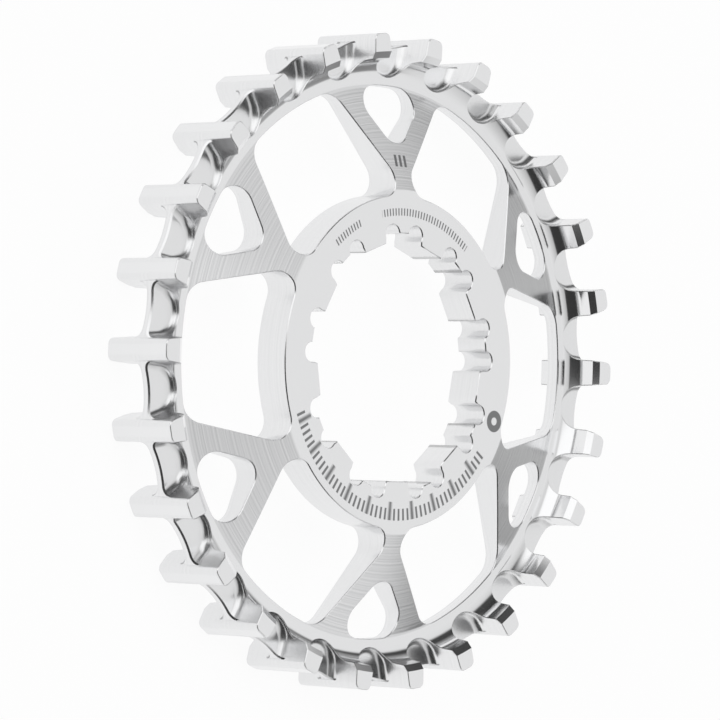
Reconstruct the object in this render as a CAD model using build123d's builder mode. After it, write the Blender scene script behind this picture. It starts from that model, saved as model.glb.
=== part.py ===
# A bicycle's rear belt drive sprocket, turned and milled from one round of aluminium.
# Millimetres, +Z up. The sprocket lies flat on the rear ends of its teeth. Its axis is Z, the
# origin is on that axis at the level of those ends, and the side that faces outwards is up.
# A spoke, a gap between two teeth and a groove of the bore all lie on +Y.

import os
from math import cos, hypot, pi, radians, sin, sqrt, tan

from build123d import *

# Belt and teeth
belt_pitch = 11.0
tooth_count = 26
belt_line_height = 0.87  # from the tip of a tooth out to the belt's tension cords
tooth_width = 10.9
tooth_tip_bevel = 0.5
gap_depth = 5.68
gap_root_radius = 3.4
gap_flank_angle = 12.0

# Thin rib between the two halves of the teeth, which runs in the belt's middle groove
rib_thickness = 1.25
rib_depth = 1.55  # from the tooth tips in to the rib's edge, halfway between two teeth

# Undercut behind each end of the teeth
undercut_start = 4.78  # from the tooth tips in to the foot of the undercut
undercut_bevel = 1.2
undercut_draft = 7.0
lip_bevel_width = 0.88
lip_bevel_height = 0.6

# Hub, web and rim
hub_face_radius = 23.3
hub_thickness = 5.2
hub_proud = 0.15  # how far the hub's face stands above the teeth
rim_width = 2.19  # from the foot of the undercut in to the windows
rim_front_depth = 4.0  # from the front ends of the teeth back to the rim's face
rim_front_step = 0.16  # how much lower the rim's face is at its inner edge

# Windows and spokes
spoke_count = 6
window_hub_radius = 22.67
window_hub_half_width = 12.0
window_rim_half_width = 8.85
window_hub_corner = 2.45
window_rim_corner = 3.2
fork_hole_depth = 9.21  # from the rim in to the point where the hole's two sides meet
fork_half_angle = 41.0
fork_apex_corner = 2.6
fork_rim_corner = 2.5

# Splined bore
spline_count = 9
spline_tooth_radius = 16.15  # to the flat on each inward tooth
spline_groove_radius = 17.5
spline_groove_width = 7.0
relief_radius = 1.34
relief_inset = 1.22  # from the side of a groove in to the centre of its corner relief
relief_drop = 0.24  # from the floor of a groove in to that centre

# Worked out from the sizes above. The rim's rear face is level with the rib's.
past_faces = 1.0  # how far a cutter runs on outside the metal
tip_radius = belt_pitch * tooth_count / (2 * pi) - belt_line_height
hub_front = tooth_width + hub_proud
hub_rear = hub_front - hub_thickness
rim_front = tooth_width - rim_front_depth
rib_low = (tooth_width - rib_thickness) / 2
rib_high = rib_low + rib_thickness
rim_rear = rib_low
rib_edge_y = tip_radius - rib_depth
undercut_radius = tip_radius - undercut_start
rim_inner_radius = undercut_radius - rim_width
fork_apex_radius = rim_inner_radius - fork_hole_depth
cutter_top = hub_front + past_faces


def draw_undercut(face_height, end_height):
    """Draw one undercut from the rim's face out to the tip of a tooth's end.

    A bevel leaves the rim's face and turns up into a wall with a little draft, and a second
    bevel opens that wall to the lip at the end of the teeth.
    """
    out = 1 if end_height > face_height else -1
    wall_foot_radius = undercut_radius + undercut_bevel
    wall_length = abs(end_height - face_height) - undercut_bevel - lip_bevel_height
    wall_top_radius = wall_foot_radius + wall_length * tan(radians(undercut_draft))
    Polyline(
        (undercut_radius, face_height),
        (wall_foot_radius, face_height + out * undercut_bevel),
        (wall_top_radius, end_height - out * lip_bevel_height),
        (wall_top_radius + lip_bevel_width, end_height),
        (tip_radius, end_height),
    )


# Gap between two teeth, on +Y: a round root, straight flanks and bevelled tooth tips
flank_angle = radians(gap_flank_angle)
root_centre = tip_radius - gap_depth + gap_root_radius
flank_x = gap_root_radius * cos(flank_angle)
flank_y = root_centre - gap_root_radius * sin(flank_angle)
flank_top_y = tip_radius + past_faces / 2
flank_top_x = flank_x + (flank_top_y - flank_y) * tan(flank_angle)
sector_y = tip_radius + 2 * past_faces
sector_x = sector_y * tan(pi / tooth_count)
with BuildSketch() as gap:
    Circle(tip_radius + past_faces)
    Circle(tip_radius, mode=Mode.SUBTRACT)
    Polygon((0, 0), (sector_x, sector_y), (-sector_x, sector_y), align=None, mode=Mode.INTERSECT)
    with BuildLine():
        ThreePointArc((-flank_x, flank_y), (0, tip_radius - gap_depth), (flank_x, flank_y))
        Polyline(
            (flank_x, flank_y),
            (flank_top_x, flank_top_y),
            (-flank_top_x, flank_top_y),
            (-flank_x, flank_y),
        )
    make_face()
    tip_corners = gap.vertices().filter_by(lambda v: abs(hypot(v.X, v.Y) - tip_radius) < 1e-4)
    chamfer(tip_corners.sort_by(lambda v: abs(v.X))[:2], tooth_tip_bevel)

# All that is milled away in one gap: a pocket on each side of the rib, and the rib's edge
with BuildPart() as gap_cutter:
    with BuildSketch(Plane.XY.offset(rib_high)):
        add(gap.sketch)
    extrude(amount=cutter_top - rib_high)
    mirror(about=Plane.XY.offset(tooth_width / 2))
    with BuildSketch(Plane.XY.offset(rib_low)):
        add(gap.sketch)
        split(bisect_by=Plane.XZ.offset(-rib_edge_y), keep=Keep.BOTTOM)
    extrude(amount=rib_thickness)

# Large window between two spokes, drawn on +Y
window_hub_y = sqrt(window_hub_radius**2 - window_hub_half_width**2)
window_rim_y = sqrt(rim_inner_radius**2 - window_rim_half_width**2)
with BuildSketch() as window:
    with BuildLine():
        ThreePointArc(
            (-window_hub_half_width, window_hub_y),
            (0, window_hub_radius),
            (window_hub_half_width, window_hub_y),
        )
        Line((window_hub_half_width, window_hub_y), (window_rim_half_width, window_rim_y))
        ThreePointArc(
            (window_rim_half_width, window_rim_y),
            (0, rim_inner_radius),
            (-window_rim_half_width, window_rim_y),
        )
        Line((-window_rim_half_width, window_rim_y), (-window_hub_half_width, window_hub_y))
    make_face()
    fillet(window.vertices().group_by(Axis.Y)[0], window_hub_corner)
    fillet(window.vertices().group_by(Axis.Y)[-1], window_rim_corner)

# Triangular hole where a spoke forks, drawn on +Y
fork_angle = radians(fork_half_angle)
fork_apex_offset = fork_apex_radius * sin(fork_angle)
fork_side = sqrt(rim_inner_radius**2 - fork_apex_offset**2) - fork_apex_radius * cos(fork_angle)
fork_rim_x = fork_side * sin(fork_angle)
fork_rim_y = fork_apex_radius + fork_side * cos(fork_angle)
with BuildSketch() as fork_hole:
    with BuildLine():
        Polyline((-fork_rim_x, fork_rim_y), (0, fork_apex_radius), (fork_rim_x, fork_rim_y))
        ThreePointArc((fork_rim_x, fork_rim_y), (0, rim_inner_radius), (-fork_rim_x, fork_rim_y))
    make_face()
    fillet(fork_hole.vertices().group_by(Axis.Y)[0], fork_apex_corner)
    fillet(fork_hole.vertices().group_by(Axis.Y)[-1], fork_rim_corner)

# Splined bore: inward teeth with flat ends, and flat grooves with a round relief in each corner
relief_x = spline_groove_width / 2 - relief_inset
relief_y = spline_groove_radius - relief_drop
with BuildSketch() as bore:
    RegularPolygon(spline_tooth_radius, spline_count, major_radius=False, rotation=90)
    with PolarLocations(0, spline_count):
        with Locations((0, spline_groove_radius / 2)):
            Rectangle(spline_groove_width, spline_groove_radius)
        with Locations((relief_x, relief_y), (-relief_x, relief_y)):
            Circle(relief_radius)

# The sprocket itself: the turned blank, then the gaps, and then the windows and the bore
with BuildPart() as sprocket:
    with BuildSketch(Plane.XZ):
        with BuildLine():
            Polyline(
                (0, hub_rear),
                (0, hub_front),
                (hub_face_radius, hub_front),
                (rim_inner_radius, rim_front - rim_front_step),
                (undercut_radius, rim_front),
            )
            draw_undercut(rim_front, tooth_width)
            Line((tip_radius, tooth_width), (tip_radius, 0))
            draw_undercut(rim_rear, 0)
            Polyline(
                (undercut_radius, rim_rear),
                (rim_inner_radius, rim_rear),
                (window_hub_radius, hub_rear),
                (0, hub_rear),
            )
        make_face()
    revolve(axis=Axis.Z)
    with PolarLocations(0, tooth_count):
        add(gap_cutter.part, mode=Mode.SUBTRACT)
    with BuildSketch(Plane.XY.offset(-past_faces)):
        with PolarLocations(0, spoke_count, start_angle=180 / spoke_count):
            add(window.sketch)
        with PolarLocations(0, spoke_count):
            add(fork_hole.sketch)
        add(bore.sketch)
    extrude(amount=cutter_top + past_faces, mode=Mode.SUBTRACT)

os.makedirs("parts", exist_ok=True)
sprocket.part.label = "sprocket"
export_step(sprocket.part, "parts/sprocket.step")
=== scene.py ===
from math import atan2, cos, pi, radians, sin, sqrt, tan

import bpy
import numpy as np
from mathutils import Matrix, Vector
from mathutils.geometry import delaunay_2d_cdt


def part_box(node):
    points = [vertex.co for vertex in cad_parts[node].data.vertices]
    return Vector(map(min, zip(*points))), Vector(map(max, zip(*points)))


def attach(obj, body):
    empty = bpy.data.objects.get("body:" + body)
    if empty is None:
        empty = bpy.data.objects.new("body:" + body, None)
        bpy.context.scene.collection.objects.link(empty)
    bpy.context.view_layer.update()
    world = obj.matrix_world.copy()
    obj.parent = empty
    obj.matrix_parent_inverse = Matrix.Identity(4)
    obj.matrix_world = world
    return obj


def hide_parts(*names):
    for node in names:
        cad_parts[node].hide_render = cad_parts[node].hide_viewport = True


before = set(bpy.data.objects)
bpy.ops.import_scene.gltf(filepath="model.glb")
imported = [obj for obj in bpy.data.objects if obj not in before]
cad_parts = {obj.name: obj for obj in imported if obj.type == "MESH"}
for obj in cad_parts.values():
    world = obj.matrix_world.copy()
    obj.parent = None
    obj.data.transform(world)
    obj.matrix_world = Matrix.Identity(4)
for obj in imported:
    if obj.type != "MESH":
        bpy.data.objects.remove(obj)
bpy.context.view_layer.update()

mm = 0.001

# The sprocket is one ring of aluminium, turned in a lathe and then milled. It slides on to the
# wheel by its splined bore. All its walls stand straight up, so it is drawn as outlines seen from
# above and as the heights of its two faces. First come the teeth, round a gap that lies on +Y.
tooth_count = 26
tip_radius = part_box("sprocket")[1].x
tooth_width = 10.9 * mm
tooth_tip_corner = 0.85 * mm
gap_depth = 5.68 * mm
gap_root_radius = 3.4 * mm
gap_flank_angle = radians(12)
half_pitch = pi / tooth_count


def angle_of(vector):
    """Angle of a vector of the plane, anticlockwise from +X."""
    return atan2(vector[1], vector[0])


def touching_circle(point, direction, side, radius, reach):
    """Centre of a circle that touches a line on one side of it, at a given distance from the axis.

    It lies on the line moved sideways by the radius, where that crosses the circle of that distance.
    """
    base = point + radius * side
    along = base @ direction
    return base + direction * (-along + sqrt(along**2 - base @ base + reach**2))


# The outline of half a gap: a round root, a straight flank, and the rounded corner of a tooth's
# tip. A place on it is its length along the outline from the bottom of the gap.
root_centre = np.array([0, tip_radius - gap_depth + gap_root_radius])
flank_direction = np.array([sin(gap_flank_angle), cos(gap_flank_angle)])
flank_metal = np.array([cos(gap_flank_angle), -sin(gap_flank_angle)])
flank_start = root_centre + gap_root_radius * flank_metal
corner_centre = touching_circle(
    flank_start, flank_direction, flank_metal, tooth_tip_corner, tip_radius - tooth_tip_corner
)
flank_length = (corner_centre - flank_start) @ flank_direction
root_length = gap_root_radius * (pi / 2 - gap_flank_angle)
corner_start = angle_of(-flank_metal)
corner_turn = (angle_of(corner_centre) - corner_start) % (2 * pi) - 2 * pi
corner_length = -corner_turn * tooth_tip_corner
outline_length = root_length + flank_length + corner_length


def gap_outline(place):
    """Points of the outline and the directions into the metal, for lengths along the outline.

    The root and the corner are arcs, whose angle is the length over the radius, and the flank is straight.
    """
    place = np.asarray(place)[..., None]
    root_angle = np.minimum(place, root_length) / gap_root_radius - pi / 2
    root = np.concatenate([np.cos(root_angle), np.sin(root_angle)], -1)
    corner_angle = corner_start - (place - root_length - flank_length) / tooth_tip_corner
    corner = np.concatenate([np.cos(corner_angle), np.sin(corner_angle)], -1)
    on_root = place <= root_length
    on_corner = place > root_length + flank_length
    flank = flank_start + (place - root_length) * flank_direction
    points = np.where(on_root, root_centre + gap_root_radius * root, flank)
    metal = np.where(on_root, root, flank_metal)
    points = np.where(on_corner, corner_centre + tooth_tip_corner * corner, points)
    return points, np.where(on_corner, -corner, metal)


# The undercut is turned behind each end of the teeth: the rim's face, a round foot, a wall with a
# little draft, and a bevel at the lip of the teeth
undercut_radius = 38.74 * mm
undercut_fillet = 2.4 * mm
undercut_draft = radians(7)
lip_bevel_width = 0.88 * mm
lip_bevel_height = 0.6 * mm
rim_inner_radius = 37.68 * mm
rim_front_step = 0.1 * mm  # how much lower the rim's face is at its inner edge
web_end_radius = 38.2 * mm


def undercut_bands(face_height, end_height):
    """The rim's face, the fillet, the wall, the lip's bevel and the end of the teeth, from inside out.

    Each band holds its inner and outer radius, and its height and slope as functions of the radius.
    The height is a straight line over the radius, but an arc of a circle in the fillet.
    """
    out = 1 if end_height > face_height else -1
    turn = pi / 2 - undercut_draft
    foot_radius = undercut_radius + undercut_fillet * sin(turn)
    foot_height = face_height + out * undercut_fillet * (1 - cos(turn))
    bevel_height = end_height - out * lip_bevel_height
    bevel_radius = foot_radius + abs(bevel_height - foot_height) * tan(undercut_draft)
    lip_radius = bevel_radius + lip_bevel_width
    rise = rim_front_step * (out > 0) / (undercut_radius - rim_inner_radius)
    wall = out / tan(undercut_draft)
    bevel = out * lip_bevel_height / lip_bevel_width

    def fillet_drop(r):
        """How far the arc lies below its centre, from its radius and the distance across."""
        across = np.clip(r - undercut_radius, 0, undercut_fillet * sin(turn))
        return np.sqrt(undercut_fillet**2 - across**2)

    return [
        (
            web_end_radius,
            undercut_radius,
            lambda r: face_height + out * rise * (r - undercut_radius),
            lambda r: out * rise + 0 * r,
        ),
        (
            undercut_radius,
            foot_radius,
            lambda r: face_height + out * (undercut_fillet - fillet_drop(r)),
            lambda r: out * np.maximum(r - undercut_radius, 0) / fillet_drop(r),
        ),
        (
            foot_radius,
            bevel_radius,
            lambda r: foot_height + wall * (r - foot_radius),
            lambda r: wall + 0 * r,
        ),
        (
            bevel_radius,
            lip_radius,
            lambda r: bevel_height + bevel * (r - bevel_radius),
            lambda r: bevel + 0 * r,
        ),
        (lip_radius, tip_radius, lambda r: end_height + 0 * r, lambda r: 0 * r),
    ]


def height_of(bands, radius):
    """Height of a face at any radius from the rim's face out to the tip, by the band it falls in."""
    height = bands[0][2](radius)
    for inner, _, rule, _ in bands[1:]:
        height = np.where(radius > inner, rule(radius), height)
    return height


# The pocket on each side of a thin rib, which runs in the belt's middle groove. A fillet runs round
# the pocket's floor, and all edges are broken. The rib's own edge is a hollow arc.
rib_thickness = 1.25 * mm
rib_low = (tooth_width - rib_thickness) / 2
rib_high = rib_low + rib_thickness
rib_depth = 1.55 * mm
rib_hollow_radius = 13 * mm
rib_edge_break = 0.22 * mm
rim_front_depth = 4.0 * mm
rim_front = tooth_width - rim_front_depth
rim_rear = rib_low
edge_break = 0.14 * mm
edge_break_share = 0.2  # of the wall's height at most
gap_floor_fillet = 1.15 * mm
rear_root_fillet = 0.5 * mm
fillet_grows_from = 40.3 * mm
fillet_grows_to = 42.9 * mm
fillet_height_share = 0.97  # of the wall's height at most
fillet_spread = 1.4  # how much wider than high the fillet may be where the wall is low


class GapSide:
    """The front or the rear half of a gap: the pocket from the rib's face out to the end of the teeth."""

    def __init__(self, out, rib_face, rim_face, end_height, root_fillet):
        self.out = out
        self.rib_face = rib_face
        self.end_height = end_height
        self.root_fillet = root_fillet
        self.bands = undercut_bands(rim_face, end_height)

    def wall_height(self, place):
        """Height of the wall over the rib's face: the undercut's height at that radius."""
        points, _ = gap_outline(place)
        return self.out * (height_of(self.bands, np.linalg.norm(points, axis=-1)) - self.rib_face)

    def break_width(self, place):
        """Width of the broken edge, which fades out where the wall has no height."""
        return np.minimum(edge_break, edge_break_share * np.maximum(self.wall_height(place), 0))

    def inner_edge(self, place):
        """Where the broken edge leaves the face: the outline moved into the metal."""
        points, metal = gap_outline(place)
        return points + self.break_width(place)[..., None] * metal

    def top(self, place):
        """Height of the face at the broken edge, measured from the rib's face."""
        radius = np.linalg.norm(self.inner_edge(place), axis=-1)
        return self.out * (height_of(self.bands, radius) - self.rib_face)

    def fillet_limit(self, place):
        """The fillet's full size, which grows evenly with the radius between two circles."""
        radius = np.linalg.norm(gap_outline(place)[0], axis=-1)
        share = np.clip((radius - fillet_grows_from) / (fillet_grows_to - fillet_grows_from), 0, 1)
        return self.root_fillet + share * (gap_floor_fillet - self.root_fillet)

    def fillet_height(self, place):
        """The fillet's full size, or nearly the wall's height where the wall is lower."""
        room = fillet_height_share * (self.top(place) - self.break_width(place))
        return np.clip(room, 0, self.fillet_limit(place))

    def fillet_width(self, place):
        """The fillet's full size, or a share more than its height where it is low."""
        return np.minimum(self.fillet_limit(place), fillet_spread * self.fillet_height(place))

    def floor_point(self, place, turn):
        """A point of the floor's fillet, seen from above: its width times one less the turn's cosine.

        turn goes from 0 at the wall to a quarter of a circle at the floor.
        """
        points, metal = gap_outline(place)
        inset = self.fillet_width(place) * (1 - np.cos(turn))
        return points - inset[..., None] * metal


front = GapSide(1, rib_high, rim_front, tooth_width, gap_floor_fillet)
rear = GapSide(-1, rib_low, rim_rear, 0.0, rear_root_fillet)

# Places along the outline that every surface of a gap shares: round stretches finely spaced, and
# each place where a line of the undercut crosses the outline
outline_samples = 6001
root_steps = 12
flank_steps = 3
corner_steps = 5
fillet_steps = 5
undercut_steps = 10
place_step = 0.001 * mm
place_clearance = 0.06 * mm
dense = np.linspace(0, outline_length, outline_samples)
hollow_centre = np.array([0, tip_radius - rib_depth + rib_hollow_radius])
fillet_turns = np.linspace(0, pi / 2, fillet_steps + 1)


def rib_crossing(turn, distance):
    """Place where a line of the floor's fillet comes within a distance of the hollow's centre."""
    away = np.linalg.norm(front.floor_point(dense, turn) - hollow_centre, axis=-1)
    return np.interp(-distance, -away, dense)


rib_outer = np.array([rib_crossing(t, rib_hollow_radius) for t in fillet_turns])
rib_inner = np.array([rib_crossing(t, rib_hollow_radius + rib_edge_break) for t in fillet_turns])


def crossings(side):
    """Places where the broken edge passes the radius of a line between bands or of a fillet's step."""
    radii = np.linalg.norm(side.inner_edge(dense), axis=-1)
    lines = [band[1] for band in side.bands[:-1]]
    turns = np.arange(1, undercut_steps) / undercut_steps * (pi / 2 - undercut_draft)
    steps = undercut_radius + undercut_fillet * np.sin(turns)
    return np.interp(np.concatenate([lines, steps]), radii, dense)


shared = np.concatenate([crossings(front), crossings(rear), [0, rib_inner[0], outline_length]])
shared = np.unique(np.round(shared / place_step) * place_step)
shared[-1] = outline_length
shared[np.argmin(np.abs(shared - rib_inner[0]))] = rib_inner[0]
spread = np.concatenate(
    [
        np.linspace(0, root_length, root_steps + 1),
        np.linspace(root_length, root_length + flank_length, flank_steps + 1),
        np.linspace(root_length + flank_length, outline_length, corner_steps + 1),
    ]
)
spread = spread[np.abs(spread[:, None] - shared).min(1) > place_clearance]
places = np.sort(np.concatenate([shared, spread]))
inner_places = places[places <= rib_inner[0]]
outer_places = places[places >= rib_inner[0]]


def unit(vectors):
    """Vectors scaled to a length of one."""
    return vectors / np.maximum(np.linalg.norm(vectors, axis=-1, keepdims=True), 1e-12)


def lifted(points, height):
    """Points of the plane given a height, which may differ from point to point."""
    height = np.broadcast_to(height, points.shape[:-1])
    return np.concatenate([points, height[..., None]], -1)


triangle_points = []
triangle_normals = []
triangle_milled = []


def keep_triangles(points, normals, milled):
    """Keep triangles, given as arrays of (triangle, corner, xyz), each wound to face its normals.

    milled is 1 for a surface left by the milling cutter and 0 for one turned in the lathe.
    """
    facing = np.cross(points[:, 1] - points[:, 0], points[:, 2] - points[:, 0])
    away = np.einsum("ij,ij->i", facing, normals.sum(1)) < 0
    points[away] = points[away][:, ::-1]
    normals[away] = normals[away][:, ::-1]
    triangle_points.append(points)
    triangle_normals.append(unit(normals))
    triangle_milled.append(np.full(len(points), float(milled)))


def keep_grid(points, normals, copies=None, milled=1):
    """Keep a surface given as rows and columns of points, with the direction that each one faces.

    copies is a stack of 3 x 3 matrices. The surface is repeated once for each of them.
    """
    normals = np.broadcast_to(normals, points.shape)
    if copies is None:
        copies = np.eye(3)[None]
    corner = np.stack([points[:-1, :-1], points[1:, :-1], points[1:, 1:], points[:-1, 1:]], 2)
    facing = np.stack([normals[:-1, :-1], normals[1:, :-1], normals[1:, 1:], normals[:-1, 1:]], 2)
    halves = [[0, 1, 2], [0, 2, 3]]
    corner = corner[:, :, halves].reshape(-1, 3, 3)
    facing = facing[:, :, halves].reshape(-1, 3, 3)
    corner = np.einsum("kij,tcj->ktci", copies, corner).reshape(-1, 3, 3)
    facing = np.einsum("kij,tcj->ktci", copies, facing).reshape(-1, 3, 3)
    keep_triangles(corner, facing, milled)


# Every half tooth is the same surface, turned or mirrored
tooth_columns = 4
band_overlap = 0.004 * mm
least_tilt = 1e-9  # keeps a direction where the fillet has no size
rib_break_top_tilt = 1.4
rib_break_low_tilt = 0.5
mirror = np.diag([-1.0, 1.0, 1.0])
tooth_turns = 2 * pi * np.arange(tooth_count) / tooth_count
spin = np.array([[[cos(a), -sin(a), 0], [sin(a), cos(a), 0], [0, 0, 1]] for a in tooth_turns])
tooth_copies = np.concatenate([spin, spin @ mirror])
across = np.linspace(0, 1, tooth_columns + 1)


def tooth_row(radius, edge_angle):
    """Points from a tooth's middle line to its edge, at one radius a row. Angles are from the gap."""
    angle = half_pitch + (edge_angle - half_pitch)[:, None] * across
    return radius[:, None, None] * np.stack([np.sin(angle), np.cos(angle)], -1)


def radial(points, slope, out):
    """Direction that a face of revolution faces: one up, and its slope along the radius back."""
    away = unit(points)
    slope = np.broadcast_to(slope, points.shape[:-1])[..., None]
    return out * np.concatenate([-slope * away, np.ones_like(slope)], -1)


def keep_tooth_side(side):
    """One end of half a tooth, with the rim behind it, and the pocket beside it."""
    out = side.out
    edge = side.inner_edge(places)
    radius = np.linalg.norm(edge, axis=-1)
    angle = np.arctan2(edge[:, 0], edge[:, 1])
    rim_rows = np.array([web_end_radius, undercut_radius])
    radius_rows = np.concatenate([rim_rows, radius])
    angle_rows = np.concatenate([0 * rim_rows, angle])
    for inner, outer, height, slope in side.bands:
        inside = (radius_rows > inner - band_overlap) & (radius_rows < outer + band_overlap)
        row = tooth_row(radius_rows[inside], angle_rows[inside])
        level = height_of(side.bands, radius_rows[inside])[:, None]
        facing = radial(row, slope(radius_rows[inside])[:, None], out)
        keep_grid(lifted(row, level), facing, tooth_copies, milled=0)

    # The broken edge, and the wall under it down to the fillet
    outline, metal = gap_outline(places)
    level = height_of(side.bands, radius)
    edge_top = lifted(edge, level)
    edge_low = lifted(outline, level - out * side.break_width(places))
    wall_facing = lifted(-metal, 0.0)
    keep_grid(
        np.stack([edge_top, edge_low]),
        np.stack([wall_facing + [0, 0, out], wall_facing]),
        tooth_copies,
    )
    count = len(inner_places)
    fillet = side.fillet_height(inner_places)
    wall_low = lifted(outline[:count], side.rib_face + out * fillet)
    keep_grid(np.stack([edge_low[:count], wall_low]), wall_facing[:count], tooth_copies)

    # The fillet and the floor, which end at the rib's edge
    share = inner_places / inner_places[-1]
    place = share[:, None] * rib_inner
    _, metal = gap_outline(place)
    height, width = side.fillet_height(place), side.fillet_width(place)
    flat = side.floor_point(place, fillet_turns)
    level = side.rib_face + out * height * (1 - np.sin(fillet_turns))
    tilt = (height * np.cos(fillet_turns) + least_tilt)[..., None]
    facing = unit(lifted(-metal * tilt, out * (width * np.sin(fillet_turns) + least_tilt)))
    keep_grid(lifted(flat, level), facing, tooth_copies)
    floor_edge = flat[:, -1]
    reach = rib_hollow_radius + rib_edge_break
    arc_x = floor_edge[-1, 0] * rib_share
    arc = np.stack([arc_x, hollow_centre[1] - np.sqrt(reach**2 - arc_x**2)], -1)
    keep_grid(lifted(np.stack([floor_edge, arc]), side.rib_face), [0, 0, out], tooth_copies)

    # The broken edge of the rib, which runs on up the fillet's end
    end_fillet = side.fillet_height(rib_outer)
    end_flat = side.floor_point(rib_outer, fillet_turns)
    outer_x = end_flat[-1, 0] * rib_share
    outer_arc = np.stack([outer_x, hollow_centre[1] - np.sqrt(rib_hollow_radius**2 - outer_x**2)], -1)
    run = np.concatenate([arc[:-1], flat[-1, ::-1]])
    run_level = np.concatenate([side.rib_face + 0 * arc_x[:-1], level[-1, ::-1]])
    outer_run = np.concatenate([outer_arc[:-1], end_flat[::-1]])
    facing = lifted(unit(hollow_centre - outer_run), 0.0)
    outer_level = run_level - out * rib_edge_break
    keep_grid(
        np.stack([lifted(run, run_level), lifted(outer_run, outer_level)]),
        np.stack([facing + [0, 0, rib_break_top_tilt * out], facing + [0, 0, rib_break_low_tilt * out]]),
        tooth_copies,
    )
    return outer_run, outer_level, facing, edge_low, side.rib_face + out * end_fillet[0]


floor_x = front.floor_point(inner_places / inner_places[-1] * rib_inner[-1], pi / 2)[:, 0]
rib_share = floor_x / floor_x[-1]
rib_run, rib_top, rib_facing, front_edge, front_flare = keep_tooth_side(front)
_, rib_bottom, _, rear_edge, rear_flare = keep_tooth_side(rear)
keep_grid(np.stack([lifted(rib_run, rib_top), lifted(rib_run, rib_bottom)]), rib_facing, tooth_copies)

# The flank and the tip beyond the rib, over the whole width of the teeth
along = (outer_places - outer_places[0]) / (outer_places[-1] - outer_places[0])
starts = np.array([rib_inner[0], rib_outer[0], rib_outer[0], rib_inner[0]])
place = starts[:, None] + along * (outline_length - starts)[:, None]
flank, flank_into = gap_outline(place)
levels = np.array([front_flare, front_flare - rib_edge_break, rear_flare + rib_edge_break, rear_flare])
middle = lifted(flank, levels[:, None])
beyond = slice(len(inner_places) - 1, None)
flank_rows = np.concatenate([front_edge[None, beyond], middle, rear_edge[None, beyond]])
flank_facing = np.concatenate([flank_into[:1], flank_into, flank_into[-1:]])
keep_grid(flank_rows, lifted(-flank_facing, 0.0), tooth_copies)
corner_end, _ = gap_outline(outline_length)
tip_edge = np.arctan2(corner_end[0], corner_end[1])
tip_rows = flank_rows[:, -1, 2]
tip_flat = tooth_row(np.full(len(tip_rows), tip_radius), np.full(len(tip_rows), tip_edge))
keep_grid(lifted(tip_flat, tip_rows[:, None]), lifted(tip_flat, 0.0), tooth_copies, milled=0)
for side, level in ((front, tip_rows[0]), (rear, tip_rows[-1])):
    ring = tooth_row(np.array([tip_radius - edge_break, tip_radius]), np.full(2, tip_edge))
    away = lifted(unit(ring), 0.0)
    away[0, :, 2] = side.out
    keep_grid(lifted(ring, np.array([[side.end_height], [level]])), away, tooth_copies)

# The windows between six spokes, the holes where the spokes fork, and the splined bore are milled
# right through. Each is drawn as the outline of half of it.
spoke_count = 6
window_hub_radius = 22.67 * mm
window_hub_half_width = 12.0 * mm
window_rim_half_width = 8.85 * mm
window_hub_corner = 2.45 * mm
window_rim_corner = 3.2 * mm
fork_apex_radius = 28.47 * mm
fork_half_angle = radians(41)
fork_apex_corner = 2.6 * mm
fork_rim_corner = 2.5 * mm
spline_count = 9
spline_tooth_radius = 16.15 * mm
spline_groove_radius = 17.5 * mm
spline_groove_width = 7.0 * mm
relief_radius = 1.34 * mm
relief_inset = 1.22 * mm
relief_drop = 0.24 * mm
window_break = 0.13 * mm
upward = pi / 2
axis_point = np.zeros(2)


def line_path(start, end, steps, metal):
    """A straight run as evenly spaced points, with the direction into the metal at each."""
    share = np.linspace(0, 1, steps + 1)[:, None]
    return start + share * (end - start), np.broadcast_to(metal, (steps + 1, 2))


def arc_path(centre, radius, start, end, steps, metal_outside=True):
    """A circular arc as evenly spaced points, taken the short way round from one angle to another."""
    end = start + (end - start + pi) % (2 * pi) - pi
    angle = np.linspace(start, end, steps + 1)
    away = np.stack([np.cos(angle), np.sin(angle)], -1)
    return centre + radius * away, away if metal_outside else -away


def joined(*paths):
    """Paths put end to end, with the point that two of them share kept once."""
    points = np.concatenate([p[0][:-1] for p in paths[:-1]] + [paths[-1][0]])
    metal = np.concatenate([p[1][:-1] for p in paths[:-1]] + [paths[-1][1]])
    return points, metal


window_foot = np.array([window_hub_half_width, sqrt(window_hub_radius**2 - window_hub_half_width**2)])
window_head = np.array([window_rim_half_width, sqrt(rim_inner_radius**2 - window_rim_half_width**2)])
window_side = unit(window_head - window_foot)
window_metal = np.array([window_side[1], -window_side[0]])
hub_corner = touching_circle(
    window_foot, window_side, -window_metal, window_hub_corner, window_hub_radius + window_hub_corner
)
rim_corner = touching_circle(
    window_foot, window_side, -window_metal, window_rim_corner, rim_inner_radius - window_rim_corner
)
window_half = joined(
    arc_path(axis_point, window_hub_radius, upward, angle_of(hub_corner), steps=14, metal_outside=False),
    arc_path(hub_corner, window_hub_corner, angle_of(-hub_corner), angle_of(window_metal), steps=12),
    line_path(
        hub_corner + window_hub_corner * window_metal,
        rim_corner + window_rim_corner * window_metal,
        steps=12,
        metal=window_metal,
    ),
    arc_path(rim_corner, window_rim_corner, angle_of(window_metal), angle_of(rim_corner), steps=14),
    arc_path(axis_point, rim_inner_radius, angle_of(rim_corner), upward, steps=8),
)

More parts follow.
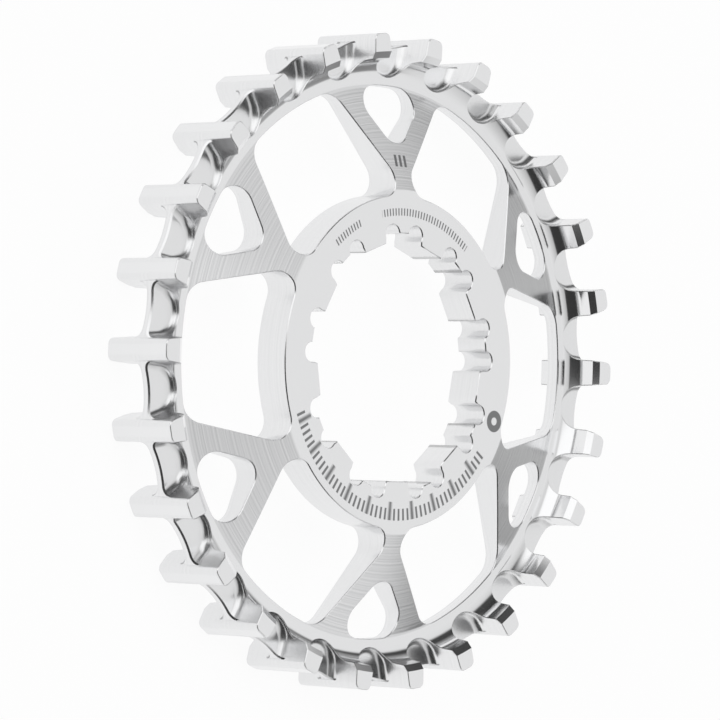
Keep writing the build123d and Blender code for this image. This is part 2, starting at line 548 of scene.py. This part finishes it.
fork_side = np.array([sin(fork_half_angle), cos(fork_half_angle)])
fork_metal = np.array([fork_side[1], -fork_side[0]])
fork_apex = np.array([0, fork_apex_radius])
apex_corner = fork_apex + np.array([0, fork_apex_corner / sin(fork_half_angle)])
fork_corner = touching_circle(
    fork_apex, fork_side, -fork_metal, fork_rim_corner, rim_inner_radius - fork_rim_corner
)
fork_half = joined(
    arc_path(apex_corner, fork_apex_corner, -upward, angle_of(fork_metal), steps=8),
    line_path(
        apex_corner + fork_apex_corner * fork_metal,
        fork_corner + fork_rim_corner * fork_metal,
        steps=5,
        metal=fork_metal,
    ),
    arc_path(fork_corner, fork_rim_corner, angle_of(fork_metal), angle_of(fork_corner), steps=14),
    arc_path(axis_point, rim_inner_radius, angle_of(fork_corner), upward, steps=4),
)

relief_centre = np.array([spline_groove_width / 2 - relief_inset, spline_groove_radius - relief_drop])
relief_start = np.array([relief_centre[0] - sqrt(relief_radius**2 - relief_drop**2), spline_groove_radius])
relief_end = np.array([spline_groove_width / 2, relief_centre[1] - sqrt(relief_radius**2 - relief_inset**2)])
half_spline = pi / spline_count
flat_metal = np.array([sin(half_spline), cos(half_spline)])
tooth_middle = spline_tooth_radius * flat_metal
tooth_corner_x = spline_groove_width / 2
tooth_corner = np.array(
    [tooth_corner_x, (spline_tooth_radius - tooth_corner_x * sin(half_spline)) / cos(half_spline)]
)
relief_first = angle_of(relief_start - relief_centre)
relief_last = angle_of(relief_end - relief_centre)
relief_steps = 16
relief_angles = np.linspace(relief_first, relief_last, relief_steps + 1)
relief_away = np.stack([np.cos(relief_angles), np.sin(relief_angles)], -1)
groove_runs = [
    line_path(np.array([0, spline_groove_radius]), relief_start, steps=1, metal=np.array([0, 1.0])),
    (relief_centre + relief_radius * relief_away, relief_away),
    line_path(relief_end, tooth_corner, steps=1, metal=np.array([1.0, 0])),
    line_path(tooth_corner, tooth_middle, steps=2, metal=flat_metal),
]
flip = np.array([-1, 1])  # mirrors a point of the plane about the Y axis


def mirrored_loop(half):
    """A closed outline from half of it, which starts and ends on the line it is mirrored about."""
    return tuple(np.concatenate([a, (a * flip)[-2:0:-1]]) for a in half)


def turned(points, angle):
    """Points of the plane turned about the axis, anticlockwise: a rotation by sine and cosine."""
    c, s = np.cos(angle), np.sin(angle)
    x, y = points[..., 0], points[..., 1]
    return np.stack([x * c - y * s, x * s + y * c], -1)


def around(loop, count, first):
    """The same outline repeated evenly round the axis."""
    return [tuple(turned(a, first + 2 * pi * k / count) for a in loop) for k in range(count)]


def mitred(runs):
    """Runs put end to end. Where two meet at a corner, the direction is the mitre of both: twice
    their sum over that sum's square.
    """
    points, metal = runs[0]
    for next_points, next_metal in runs[1:]:
        total = metal[-1] + next_metal[0]
        mitre = total * 2 / (total @ total)
        points = np.concatenate([points, next_points[1:]])
        metal = np.concatenate([metal[:-1], mitre[None], next_metal[1:]])
    return points, metal


whole_groove = [np.concatenate([(a * flip)[:0:-1], a[:-1]]) for a in mitred(groove_runs)]
bore_loop = tuple(
    np.concatenate([turned(a, -2 * pi * k / spline_count) for k in range(spline_count)])
    for a in whole_groove
)
loops = around(mirrored_loop(window_half), spoke_count, pi / spoke_count)
loops += around(mirrored_loop(fork_half), spoke_count, 0.0)
loops += [bore_loop]

# Heights of the hub, the web and the inner rim, front and rear, with their corners a little round
hub_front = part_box("sprocket")[1].z
hub_thickness = 5.2 * mm
hub_rear = hub_front - hub_thickness
hub_face_radius = 23.3 * mm
hub_edge_round = 0.16 * mm
rim_round = 0.3 * mm
web_slope = (hub_front - rim_front + rim_front_step) / (rim_inner_radius - hub_face_radius)
rear_slope = (hub_rear - rim_rear) / (rim_inner_radius - window_hub_radius)
rim_slope = rim_front_step / (undercut_radius - rim_inner_radius)


def soft_step(radius, middle, half_width):
    """0 inside, 1 outside, and an even ramp between."""
    return np.clip((radius - middle) / (2 * half_width) + 0.5, 0, 1)


def soft_ramp(radius, middle, half_width):
    """How far a radius lies outside a circle, with the corner rounded by a parabola."""
    inside = np.clip(radius - middle + half_width, 0, 2 * half_width)
    return inside**2 / (4 * half_width) + np.maximum(radius - middle - half_width, 0)


def front_face(radius):
    """Height and slope of the front face: level, then down along the web, then level with the rim."""
    out_of_hub = soft_ramp(radius, hub_face_radius, hub_edge_round)
    out_of_web = soft_ramp(radius, rim_inner_radius, rim_round)
    height = hub_front - web_slope * out_of_hub + (web_slope + rim_slope) * out_of_web
    slope = -web_slope * soft_step(radius, hub_face_radius, hub_edge_round)
    return height, slope + (web_slope + rim_slope) * soft_step(radius, rim_inner_radius, rim_round)


def rear_face(radius):
    """Height and slope of the rear face, which bends at the windows' edge and at the rim."""
    out_of_hub = soft_ramp(radius, window_hub_radius, hub_edge_round)
    out_of_web = soft_ramp(radius, rim_inner_radius, rim_round)
    height = hub_rear - rear_slope * out_of_hub + rear_slope * out_of_web
    slope = -rear_slope * soft_step(radius, window_hub_radius, hub_edge_round)
    return height, slope + rear_slope * soft_step(radius, rim_inner_radius, rim_round)


# The broken edges and the walls of the openings
upright = np.array([0, 0, 1.0])
break_low_tilt = 0.4
edge_loops = []
for points, metal in loops:
    points = np.concatenate([points, points[:1]])
    metal = np.concatenate([metal, metal[:1]])
    edge = points + window_break * metal
    edge_loops.append(edge[:-1])
    wall_facing = lifted(-unit(metal), 0.0)
    front_level = front_face(np.linalg.norm(edge, axis=-1))[0]
    rear_level = rear_face(np.linalg.norm(edge, axis=-1))[0]
    front_rows = np.stack([lifted(edge, front_level), lifted(points, front_level - window_break)])
    rear_rows = np.stack([lifted(points, rear_level + window_break), lifted(edge, rear_level)])
    keep_grid(front_rows, np.stack([wall_facing + upright, wall_facing + break_low_tilt * upright]))
    keep_grid(rear_rows, np.stack([wall_facing - break_low_tilt * upright, wall_facing - upright]))
    keep_grid(np.stack([front_rows[1], rear_rows[0]]), wall_facing)

# The faces between the openings: the outlines and a web of rings are joined into triangles, and
# those inside an opening are left out. Rings lie closer where the face bends.
column_angles = (np.arange(2 * tooth_count)[:, None] + across[:-1]).ravel() * half_pitch
rim_ring = web_end_radius * np.stack([np.sin(column_angles), np.cos(column_angles)], -1)
hub_rings = np.arange(19.2, 22.3, 0.9) * mm
web_rings = np.arange(24.2, 37.2, 0.85) * mm
bend_rings = np.array([-1, -0.4, 0.4, 1])
ring_radii = np.concatenate(
    [
        hub_rings,
        window_hub_radius + hub_edge_round * np.array([-1, 0, 1]),
        hub_face_radius + hub_edge_round * bend_rings,
        web_rings,
        rim_inner_radius + rim_round * bend_rings,
    ]
)
ring_columns = 240
ring_angles = np.arange(ring_columns) * 2 * pi / ring_columns
rings = ring_radii[:, None, None] * np.stack([np.cos(ring_angles), np.sin(ring_angles)], -1)
rings = rings.reshape(-1, 2)


def inside_outlines(points, outlines):
    """Whether each point lies inside an odd number of the closed outlines.

    It does where a line from the point towards +X crosses them an odd number of times.
    """
    odd = np.zeros(len(points), bool)
    for outline in outlines:
        start, end = outline, np.roll(outline, -1, 0)
        y = points[:, 1:2]
        spans = (start[:, 1] > y) != (end[:, 1] > y)
        rise = np.where(start[:, 1] == end[:, 1], 1, end[:, 1] - start[:, 1])
        x = start[:, 0] + (y - start[:, 1]) * (end[:, 0] - start[:, 0]) / rise
        odd ^= ((x > points[:, :1]) & spans).sum(1) % 2 == 1
    return odd


ring_clearance = 0.16 * mm
edge_batches = 8  # taken in turn to save memory
all_edges = np.concatenate(edge_loops)
nearest = np.full(len(rings), np.inf)
for batch in np.array_split(all_edges, edge_batches):
    nearest = np.minimum(nearest, np.linalg.norm(rings[:, None] - batch, axis=-1).min(1))
kept = (nearest > ring_clearance) & ~inside_outlines(rings, edge_loops)
face_points = np.concatenate([rim_ring, all_edges, rings[kept]])
face_edges = []
first = 0
for outline in [rim_ring, *edge_loops]:
    index = np.arange(len(outline))
    face_edges.append(np.stack([first + index, first + np.roll(index, -1)], -1))
    first += len(outline)
index = (first + np.cumsum(kept) - 1).reshape(-1, ring_columns)
kept = kept.reshape(-1, ring_columns)
linked = kept & np.roll(kept, -1, 1)
face_edges.append(np.stack([index[linked], np.roll(index, -1, 1)[linked]], -1))
face_edges = np.concatenate(face_edges)
all_triangles = 0  # asks for every triangle, inside the openings too
merge_distance = 1e-6
found = delaunay_2d_cdt((face_points / mm).tolist(), face_edges.tolist(), [], all_triangles, merge_distance)
given = np.array([ids[0] if ids else -1 for ids in found[3]])  # -1 where two edges cross
flat = np.array([tuple(v) for v in found[0]]) * mm
flat = np.where((given >= 0)[:, None], face_points[given], flat)
triangles = flat[np.array(found[2])]
triangles = triangles[inside_outlines(triangles.mean(1), [rim_ring, *edge_loops])]
for face, out in ((front_face, 1), (rear_face, -1)):
    level, slope = face(np.linalg.norm(triangles, axis=-1))
    keep_triangles(lifted(triangles, level), radial(triangles, slope, out), milled=0)

# All the surfaces become one closed mesh. Corners at the same place are one vertex, and each
# triangle keeps the directions that its corners face.
corners = np.concatenate(triangle_points)
facing = np.concatenate(triangle_normals)
grid_step = 1e-8
grid_places = np.round(corners.reshape(-1, 3) / grid_step).astype(np.int64)
_, first_seen, number = np.unique(grid_places, axis=0, return_index=True, return_inverse=True)
number = number.reshape(-1, 3)
whole = (number[:, 0] != number[:, 1]) & (number[:, 1] != number[:, 2]) & (number[:, 2] != number[:, 0])
number = number[whole]
facing = facing[whole]
milled = np.concatenate(triangle_milled)[whole]
vertices = corners.reshape(-1, 3)[first_seen]
sprocket_mesh = bpy.data.meshes.new("machined_sprocket")
sprocket_mesh.vertices.add(len(vertices))
sprocket_mesh.vertices.foreach_set("co", vertices.astype(np.float32).ravel())
sprocket_mesh.loops.add(number.size)
sprocket_mesh.loops.foreach_set("vertex_index", number.astype(np.int32).ravel())
sprocket_mesh.polygons.add(len(number))
sprocket_mesh.polygons.foreach_set("loop_start", np.arange(0, number.size, 3, dtype=np.int32))
sprocket_mesh.update(calc_edges=True)
sprocket_mesh.normals_split_custom_set(facing.reshape(-1, 3).tolist())
sprocket_mesh.attributes.new("milled", "FLOAT", "FACE").data.foreach_set("value", milled.astype(np.float32))
sprocket = bpy.data.objects.new("machined_sprocket", sprocket_mesh)
bpy.context.scene.collection.objects.link(sprocket)
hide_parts("sprocket")
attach(sprocket, "root")


class Wire:
    """A socket of a node tree that takes part in sums, so that a material reads as a formula."""

    def __init__(self, tree, socket=None):
        self.tree = tree
        self.socket = socket

    def node(self, kind, settings, inputs, output=0):
        """Add a node of a kind: its settings first, then the values or links of its sockets."""
        node = self.tree.nodes.new(kind)
        for name, value in settings.items():
            setattr(node, name, value)
        for name, value in inputs.items():
            if isinstance(value, Wire):
                self.tree.links.new(value.socket, node.inputs[name])
            else:
                node.inputs[name].default_value = value
        return Wire(self.tree, node.outputs[output] if node.outputs else None)

    def math(self, operation, *others):
        """A Math node, with this wire as its first value."""
        return self.node("ShaderNodeMath", {"operation": operation}, dict(enumerate((self, *others))))

    def step(self, low, high):
        """0 up to the low value, 1 from the high one, and a smooth step between."""
        limits = {"Value": self, "From Min": low, "From Max": high}
        return self.node("ShaderNodeMapRange", {"interpolation_type": "SMOOTHSTEP"}, limits)

    def mix(self, start, end):
        """This wire's share of the way from one value to another."""
        return self * (end - start) + start

    def colours(self, start, end):
        """This wire's share of the way from one colour to another."""
        inputs = {"Factor": self, 6: start, 7: end}  # 6 and 7 are the node's two colours
        return self.node("ShaderNodeMix", {"data_type": "RGBA"}, inputs, 2)

    def parts(self):
        """The three parts of a vector."""
        return [self.node("ShaderNodeSeparateXYZ", {}, {0: self}, k) for k in range(3)]

    def lines(self, scale, detail):
        """Uneven lines that follow each other along this value, from 0 to 1: noise in one dimension."""
        inputs = {"W": self, "Scale": scale, "Detail": detail, "Roughness": 0.6}
        return self.node("ShaderNodeTexNoise", {"noise_dimensions": "1D"}, inputs)

    def __add__(self, other):
        return self.math("ADD", other)

    def __sub__(self, other):
        return self.math("SUBTRACT", other)

    def __rsub__(self, other):
        return self.math("MULTIPLY_ADD", -1, other)

    def __mul__(self, other):
        return self.math("MULTIPLY", other)

    __radd__ = __add__
    __rmul__ = __mul__


# The finish is bright aluminium straight off the machine. The faces are turned and carry fine
# rings. The pockets, windows and bore are milled, with fine lines one above the other.
bright_metal = (0.9, 0.902, 0.908, 1)
dull_metal = (0.74, 0.744, 0.752, 1)
etched_metal = (0.3, 0.302, 0.306, 1)
plain_brightness = 0.82
web_brightness = 0.85
milled_dullest = 0.55
milled_brightest = 1.1
web_roughness = 0.22
turned_roughness = 0.14
milled_roughness = 0.26
etched_roughness = 0.5
ring_height = 0.6e-5
mill_line_height = 0.7e-5
rings_per_mm = 3.6
mill_lines_per_mm = 2.8
line_detail = 3.0
ring_contrast = (0.3, 0.7)
aluminium = bpy.data.materials.new("machined aluminium")
aluminium.use_nodes = True
shader = aluminium.node_tree.nodes["Principled BSDF"]
surface = Wire(aluminium.node_tree)
object_place = surface.node("ShaderNodeTexCoord", {}, {}, "Object")
x, y, z = (part * (1 / mm) for part in object_place.parts())
from_axis = (x * x + y * y).math("SQRT")
turn = y.math("ARCTAN2", x) * (180 / pi)
cut_by_mill = surface.node("ShaderNodeAttribute", {"attribute_name": "milled"}, {}, "Fac")
hub_edge = hub_face_radius / mm
rim_edge = rim_inner_radius / mm
hub_edge_softness = 0.1
web = from_axis.step(hub_edge, hub_edge + hub_edge_softness)
web = web * from_axis.step(rim_edge + rim_round / mm, rim_edge)
web = web * (1 - cut_by_mill)
ring_lines = from_axis.lines(rings_per_mm, line_detail)
mill_lines = z.lines(mill_lines_per_mm, line_detail)


def between(value, low, high, softness):
    """1 between two limits, 0 outside them, with soft ends: one step up times one step down."""
    return value.step(low - softness, low + softness) * (1 - value.step(high - softness, high + softness))


def bars(spacing, share):
    """Radial bars, one for each spacing in degrees, each as wide as a share of it.

    A place is on a bar where its turn, in spacings, lies near enough to half a spacing.
    """
    softness = 0.07
    from_middle = ((turn * (1 / spacing)).math("FRACT") - 0.5).math("ABSOLUTE")
    return 1 - from_middle.step(share / 2 - softness, share / 2 + softness)


# Plain marks etched with a laser, in millimetres and degrees: a graduated scale round the foot of
# the hub, two rows of fine ticks at its head, a round spot, and three bars on a spoke
edge_softness = 0.05
end_softness = 0.2
scale_start, scale_end = -160, -35
scale_inner, scale_outer = 19.9, 21.5
short_mark_spacing, short_mark_share = 2.5, 0.42
long_mark_spacing, long_mark_share = 12.5, 0.13
long_mark_inner = 19.0
first_row, second_row = (52, 103), (115, 131)
tick_inner, tick_outer = 19.9, 20.9
tick_spacing, tick_share = 1.6, 0.4
spot_x, spot_y = 19.5, -7.5
spot_inner, spot_outer = 0.55, 1.5
spoke_mark_inner, spoke_mark_outer = 26.6, 28.2
spoke_mark_left, spoke_mark_right = -1.3, 1.35
spoke_bars_per_mm = 1.1
spoke_bar_edge = (0.18, 0.3)
face_level = (9.0, 9.2)
on_face = z.step(*face_level) * (1 - cut_by_mill)
on_scale = between(turn, scale_start, scale_end, end_softness)
short_marks = bars(short_mark_spacing, short_mark_share)
short_marks = short_marks * between(from_axis, scale_inner, scale_outer, edge_softness)
long_marks = bars(long_mark_spacing, long_mark_share)
long_marks = long_marks * between(from_axis, long_mark_inner, scale_outer, edge_softness)
scale = on_scale * short_marks.math("MAXIMUM", long_marks)
ticks = between(turn, *first_row, end_softness) + between(turn, *second_row, end_softness)
ticks = ticks * bars(tick_spacing, tick_share) * between(from_axis, tick_inner, tick_outer, edge_softness)
from_spot = ((x - spot_x) * (x - spot_x) + (y - spot_y) * (y - spot_y)).math("SQRT")
spot = between(from_spot, spot_inner, spot_outer, edge_softness)
spoke_marks = between(from_axis, spoke_mark_inner, spoke_mark_outer, edge_softness)
spoke_marks = spoke_marks * between(x, spoke_mark_left, spoke_mark_right, edge_softness) * y.step(0, 1)
from_gap = ((x * spoke_bars_per_mm).math("FRACT") - 0.5).math("ABSOLUTE")
spoke_marks = spoke_marks * from_gap.step(*spoke_bar_edge)
etched = ((scale + ticks + spot) * (1 - web) + spoke_marks).math("MINIMUM", 1) * on_face

brightness = ring_lines.step(*ring_contrast) * web_brightness * web + plain_brightness * (1 - web)
milled_lines = mill_lines.mix(milled_dullest, milled_brightest)
brightness = brightness * (1 - cut_by_mill) + milled_lines * cut_by_mill
colour = etched.colours(brightness.colours(dull_metal, bright_metal), etched_metal)
height = ring_lines * web * ring_height + mill_lines * cut_by_mill * mill_line_height
bump = surface.node("ShaderNodeBump", {}, {"Height": height, "Distance": 1.0, "Strength": 1.0})
roughness = web.mix(turned_roughness, web_roughness) * (1 - cut_by_mill) + milled_roughness * cut_by_mill
links = aluminium.node_tree.links
links.new(bump.socket, shader.inputs["Normal"])
links.new(etched.mix(roughness, etched_roughness).socket, shader.inputs["Roughness"])
links.new(colour.socket, shader.inputs["Base Color"])
shader.inputs["Metallic"].default_value = 1
sprocket_mesh.materials.append(aluminium)

# The stage is a plain white floor of 6 by 6 metres. The camera and reflections see it nearly
# white by itself, and it keeps a faint shadow of the sprocket.
floor_half = 3.0
floor_paint = (0.9, 0.9, 0.9, 1)
floor_glow = 1.04
camera_share = 0.9
reflection_share = 0.85
floor_corners = [(-1, -1), (1, -1), (1, 1), (-1, 1)]
floor_mesh = bpy.data.meshes.new("floor")
floor_mesh.from_pydata([(a * floor_half, b * floor_half, 0) for a, b in floor_corners], [], [(0, 1, 2, 3)])
floor = bpy.data.objects.new("floor", floor_mesh)
bpy.context.scene.collection.objects.link(floor)
white = bpy.data.materials.new("white floor")
white.use_nodes = True
white.node_tree.nodes.clear()
ground = Wire(white.node_tree)
camera_ray, glossy_ray, transmission_ray = (
    ground.node("ShaderNodeLightPath", {}, {}, name)
    for name in ("Is Camera Ray", "Is Glossy Ray", "Is Transmission Ray")
)
seen = camera_ray * camera_share + (glossy_ray + transmission_ray) * reflection_share
paint = ground.node("ShaderNodeBsdfDiffuse", {}, {"Color": floor_paint})
glow = ground.node("ShaderNodeEmission", {}, {"Strength": floor_glow})
painted_or_glowing = ground.node("ShaderNodeMixShader", {}, {"Fac": seen, 1: paint, 2: glow})
ground.node("ShaderNodeOutputMaterial", {}, {"Surface": painted_or_glowing})
floor_mesh.materials.append(white)

# The studio has a large pale panel in front, dimmer low down at the sides, a bright softbox overhead,
# and the dark of the room behind the camera. Straight soft edges bound each of them.
panel_dim = 0.38
panel_bright = 0.873
low_front_level = 0.224
gap_lowest = 0.059
gap_rise = 1.3
gap_top = 0.35
room_level = 0.04
softbox_level = 1.13
world = bpy.data.worlds.new("studio")
bpy.context.scene.world = world
world.use_nodes = True
backdrop = world.node_tree.nodes["Background"]
sky = Wire(world.node_tree)
direction = sky.node("ShaderNodeTexCoord", {}, {}, "Generated")


def beyond_plane(normal, offset, softness):
    """1 where a direction lies on the far side of a plane, 0 on the near side, soft between.

    The side is told by the dot product of the direction and the plane's normal.
    """
    inputs = {0: direction, 1: normal}
    distance = sky.node("ShaderNodeVectorMath", {"operation": "DOT_PRODUCT"}, inputs, "Value")
    return distance.step(offset - softness, offset + softness)


front_panel = beyond_plane((0.974, 0.007, 0.225), 0.338, 0.704).mix(panel_dim, panel_bright)
low = beyond_plane((0.733, 0.569, -0.374), 0.051, 0.115)
minus_y_side = 1 - beyond_plane((0.038, 0.995, -0.091), 0.006, 0.546)
not_overhead = 1 - beyond_plane((-0.08, 0.105, 0.991), 0.4, 0.05)
low_front = low * minus_y_side * not_overhead
side_gap = beyond_plane((-0.265, 0.574, -0.775), -0.31, 0.11)
gap_level = (gap_top - direction.parts()[2]).math("MAXIMUM", 0) * gap_rise + gap_lowest
room = beyond_plane((-0.963, 0.047, -0.265), -0.16, 0.06)
softbox_front = beyond_plane((-0.891, -0.403, 0.209), -0.08, 0.06)
softbox_side = beyond_plane((0.015, 0.999, 0.047), 0.166, 0.085)
light = low_front.mix(front_panel, low_front_level)
light = side_gap.mix(light, gap_level)
light = room.mix(light, room_level)
light = (softbox_front * softbox_side).mix(light, softbox_level)
world.node_tree.links.new(light.socket, backdrop.inputs["Color"])
backdrop.inputs["Strength"].default_value = 1.0

# The camera looks down on the sprocket from the photograph's angle. Its up direction lies along the
# sprocket's +Y, so that the sprocket stands on edge in the picture.
camera_azimuth = radians(-178.231)
camera_elevation = radians(42.439)
camera_distance = 636.66 * mm
camera_roll = radians(-90.503)
aim_offset = 8.144 * mm
focal_pixels = 4691.25
photo_pixels = 720
sensor_width = 36.0
hub_centre = Vector((0, 0, hub_front))
towards = Vector(
    (
        cos(camera_elevation) * cos(camera_azimuth),
        cos(camera_elevation) * sin(camera_azimuth),
        sin(camera_elevation),
    )
)
camera = bpy.data.objects.new("camera", bpy.data.cameras.new("camera"))
bpy.context.scene.collection.objects.link(camera)
camera.location = hub_centre + camera_distance * towards
look = (hub_centre + Vector((-aim_offset, 0, 0)) - camera.location).normalized()
level_right = look.cross(Vector((0, 0, 1))).normalized()
level_up = level_right.cross(look)
up = cos(camera_roll) * level_up + sin(camera_roll) * level_right
right = look.cross(up)
camera.rotation_euler = Matrix((right, up, -look)).transposed().to_euler()
camera.data.sensor_width = sensor_width
camera.data.lens = focal_pixels * sensor_width / photo_pixels
camera.data.clip_start = 10 * mm
bpy.context.scene.camera = camera
bpy.context.scene.view_settings.view_transform = "Standard"
